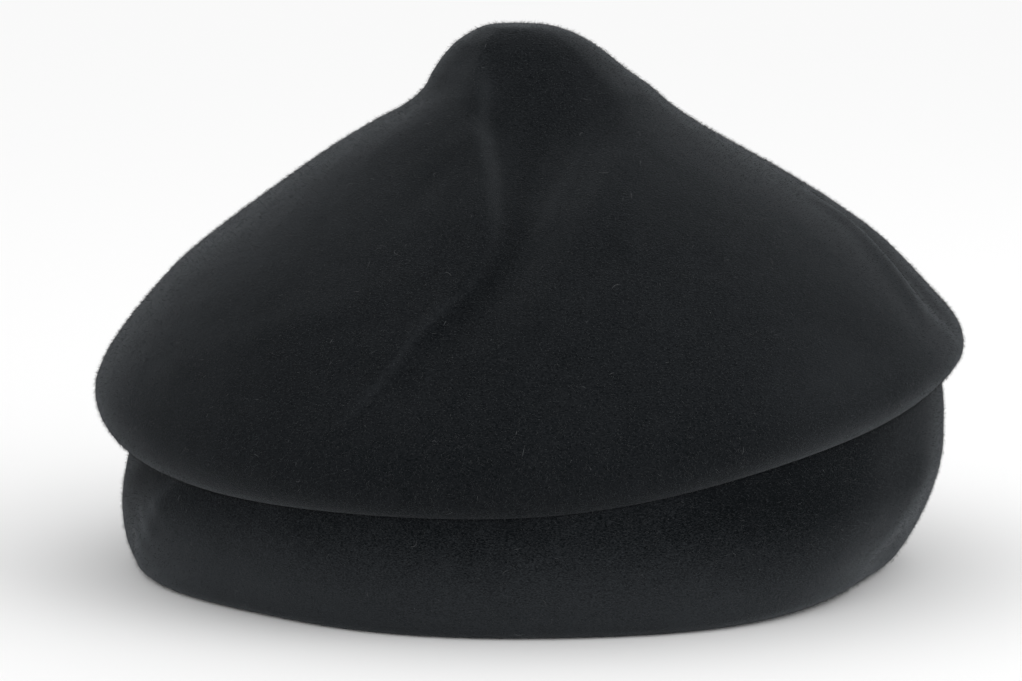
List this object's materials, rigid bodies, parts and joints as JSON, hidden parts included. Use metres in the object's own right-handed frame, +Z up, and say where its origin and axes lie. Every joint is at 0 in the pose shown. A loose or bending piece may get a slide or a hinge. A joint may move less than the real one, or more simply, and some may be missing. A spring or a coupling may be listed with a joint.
{
  "type": "cocktail hat",
  "caption": "Felt cocktail hat: a draped crown with a soft tip and one deep fold hangs over a turned-up cuff, open below for the head.",
  "frame": {"origin": "on the surface that the hat rests on, below the middle of the crown's widest ring", "axes": "+Z up through the tip, -Y to the front where the deep fold runs down, +X to the wearer's left, on the right seen from the front"},
  "size_m": [0.2398, 0.2359, 0.1495],
  "materials": {
    "velour_felt": "black velour felt with a short brushed nap and a soft pale sheen at grazing angles"
  },
  "bodies": {
    "root": {"crown": "velour_felt", "cuff": "velour_felt"}
  },
  "joints": []
}
